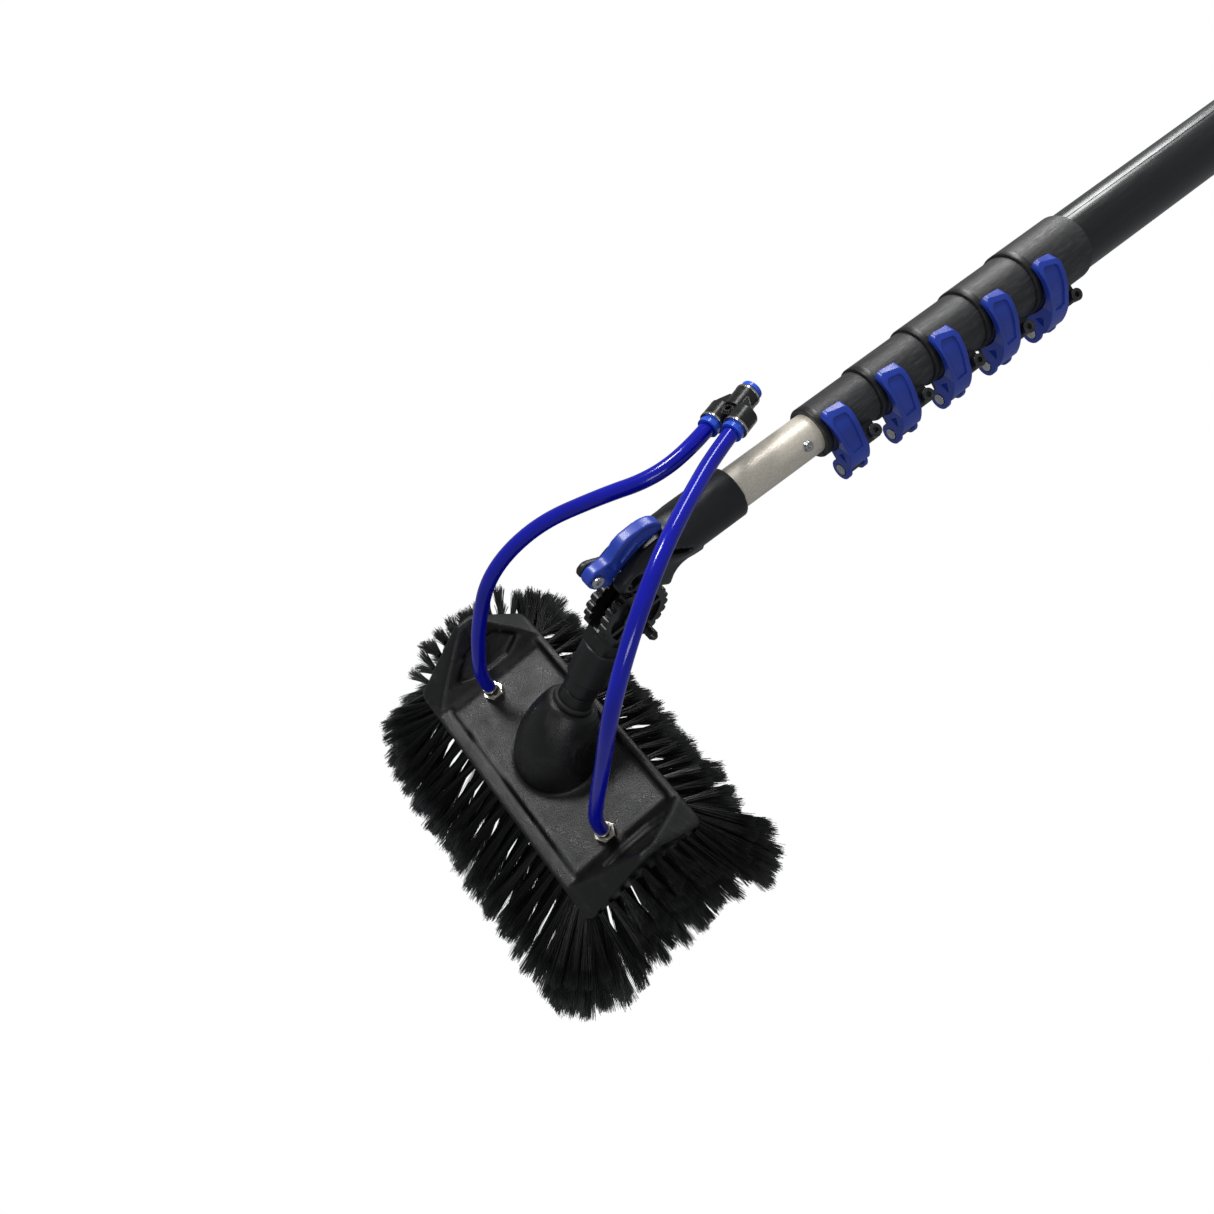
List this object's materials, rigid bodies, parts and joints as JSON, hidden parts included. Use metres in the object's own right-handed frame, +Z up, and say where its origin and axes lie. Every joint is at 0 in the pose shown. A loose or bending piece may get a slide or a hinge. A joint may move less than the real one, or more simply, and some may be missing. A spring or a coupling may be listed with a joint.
{
  "type": "water-fed window cleaning pole with brush",
  "caption": "Telescopic water-fed cleaning pole with flip clamps, tilting brush head, water jets and twin supply hoses joined by a Y connector.",
  "frame": {"origin": "middle of the bounding box seen from above, on the floor that the bristle tips and the butt cap rest on", "axes": "+X runs from the brush to the pole's butt, +Y runs along the brush block to its left end, +Z is up"},
  "size_m": [1.9276, 0.242, 0.2329],
  "materials": {
    "beige_aluminium": "satin anodised, faint speckle",
    "black_tube": "satin black resin skin",
    "black_nylon": "matte",
    "black_rubber": "matte",
    "black_moulding": "fine grained moulding",
    "blue_plastic": "semi-gloss royal blue",
    "zinc_steel": "bright",
    "black_bristle": "black synthetic filament",
    "nickel": "nickel plated",
    "blue_hose": "glossy translucent polyurethane",
    "blue_collet": "glossy",
    "gloss_black": "semi-gloss black"
  },
  "bodies": {
    "outer_section": {"outer_tube": "black_tube", "butt_cap": "black_rubber", "clamp_collar_5": "black_moulding", "clamp_screw_5": "zinc_steel", "lever_pin_5": "zinc_steel"},
    "section_5": {"tube_5": "black_tube", "tube_end_plug_5": "black_nylon", "clamp_collar_4": "black_moulding", "clamp_screw_4": "zinc_steel", "lever_pin_4": "zinc_steel"},
    "section_4": {"tube_4": "black_tube", "tube_end_plug_4": "black_nylon", "clamp_collar_3": "black_moulding", "clamp_screw_3": "zinc_steel", "lever_pin_3": "zinc_steel"},
    "section_3": {"tube_3": "black_tube", "tube_end_plug_3": "black_nylon", "clamp_collar_2": "black_moulding", "clamp_screw_2": "zinc_steel", "lever_pin_2": "zinc_steel"},
    "section_2": {"tube_2": "black_tube", "tube_end_plug_2": "black_nylon", "clamp_collar_1": "black_moulding", "clamp_screw_1": "zinc_steel", "lever_pin_1": "zinc_steel"},
    "tip_section": {"tip_tube": "beige_aluminium", "tube_end_plug_1": "black_nylon", "tip_rivet": "zinc_steel", "angle_adapter": "black_moulding", "adapter_lever_axle": "zinc_steel"},
    "brush_head": {"brush_block": "black_moulding", "brush_spigot": "black_moulding", "spigot_seal": "black_rubber", "tilt_hub": "black_moulding", "tilt_axle": "zinc_steel", "jet_fitting_left": "nickel", "jet_fitting_right": "nickel", "jet_nozzle_left": "nickel", "jet_nozzle_right": "nickel", "bristles_bottom": "black_bristle", "bristles_side_a": "black_bristle", "bristles_side_b": "black_bristle", "bristles_end_left": "black_bristle", "bristles_end_right": "black_bristle"},
    "water_lines": {"hose_left": "blue_hose", "hose_right": "blue_hose", "y_connector_body": "gloss_black", "y_ring_left": "nickel", "y_ring_right": "nickel", "y_ring_inlet": "nickel"},
    "adapter_latch": {"adapter_lever": "blue_plastic"},
    "clamp_lever_1": {"clamp_lever_1": "blue_plastic"},
    "clamp_lever_2": {"clamp_lever_2": "blue_plastic"},
    "clamp_lever_3": {"clamp_lever_3": "blue_plastic"},
    "clamp_lever_4": {"clamp_lever_4": "blue_plastic"},
    "clamp_lever_5": {"clamp_lever_5": "blue_plastic"},
    "collet_left": {"y_collet_left": "blue_collet"},
    "collet_right": {"y_collet_right": "blue_collet"},
    "collet_inlet": {"y_collet_inlet": "blue_collet"}
  },
  "joints": [
    {"name": "section_5_slide", "type": "slide", "parent": "outer_section", "child": "section_5", "axis": [-0.9953, 0, 0.0969], "range_m": [0, 1.25]},
    {"name": "section_4_slide", "type": "slide", "parent": "section_5", "child": "section_4", "axis": [-0.9953, 0, 0.0969], "range_m": [0, 1.25]},
    {"name": "section_3_slide", "type": "slide", "parent": "section_4", "child": "section_3", "axis": [-0.9953, 0, 0.0969], "range_m": [0, 1.25]},
    {"name": "section_2_slide", "type": "slide", "parent": "section_3", "child": "section_2", "axis": [-0.9953, 0, 0.0969], "range_m": [0, 1.25]},
    {"name": "tip_section_slide", "type": "slide", "parent": "section_2", "child": "tip_section", "axis": [-0.9953, 0, 0.0969], "range_m": [0, 1.25]},
    {"name": "clamp_lever_1_flip", "type": "hinge", "parent": "section_2", "child": "clamp_lever_1", "pos_m": [-0.66178, -0.01683, 0.15751], "axis": [0.9953, 0, -0.0969], "range_deg": [0, 110]},
    {"name": "clamp_lever_2_flip", "type": "hinge", "parent": "section_3", "child": "clamp_lever_2", "pos_m": [-0.6269, -0.01693, 0.15256], "axis": [0.9953, 0, -0.0969], "range_deg": [0, 110]},
    {"name": "clamp_lever_3_flip", "type": "hinge", "parent": "section_4", "child": "clamp_lever_3", "pos_m": [-0.59201, -0.01691, 0.14762], "axis": [0.9953, 0, -0.0969], "range_deg": [0, 110]},
    {"name": "clamp_lever_4_flip", "type": "hinge", "parent": "section_5", "child": "clamp_lever_4", "pos_m": [-0.55713, -0.01681, 0.14266], "axis": [0.9953, 0, -0.0969], "range_deg": [0, 110]},
    {"name": "clamp_lever_5_flip", "type": "hinge", "parent": "outer_section", "child": "clamp_lever_5", "pos_m": [-0.52225, -0.01661, 0.13767], "axis": [0.9953, 0, -0.0969], "range_deg": [0, 110]},
    {"name": "brush_tilt", "type": "hinge", "parent": "tip_section", "child": "brush_head", "pos_m": [-0.7968, 0, 0.159], "axis": [0, 1, 0], "range_deg": [-40, 50]},
    {"name": "water_lines_follow", "type": "hinge", "parent": "brush_head", "child": "water_lines", "pos_m": [-0.8768, 0, 0.086], "axis": [0, 1, 0], "range_deg": [-30, 30], "deforming": ["hose_left", "hose_right"]},
    {"name": "adapter_lever_flip", "type": "hinge", "parent": "tip_section", "child": "adapter_latch", "pos_m": [-0.80513, 0, 0.20217], "axis": [0, 1, 0], "range_deg": [-60, 0]},
    {"name": "collet_left_press", "type": "slide", "parent": "water_lines", "child": "collet_left", "axis": [0.9462, 0.3004, -0.1202], "range_m": [0, 0.0011]},
    {"name": "collet_right_press", "type": "slide", "parent": "water_lines", "child": "collet_right", "axis": [0.9462, 0.3004, -0.1202], "range_m": [0, 0.0011]},
    {"name": "collet_inlet_press", "type": "slide", "parent": "water_lines", "child": "collet_inlet", "axis": [-0.9462, -0.3004, 0.1202], "range_m": [0, 0.0011]}
  ],
  "couplings": [
    {"joint": "water_lines_follow", "follows": "brush_tilt", "ratio": -0.5}
  ]
}
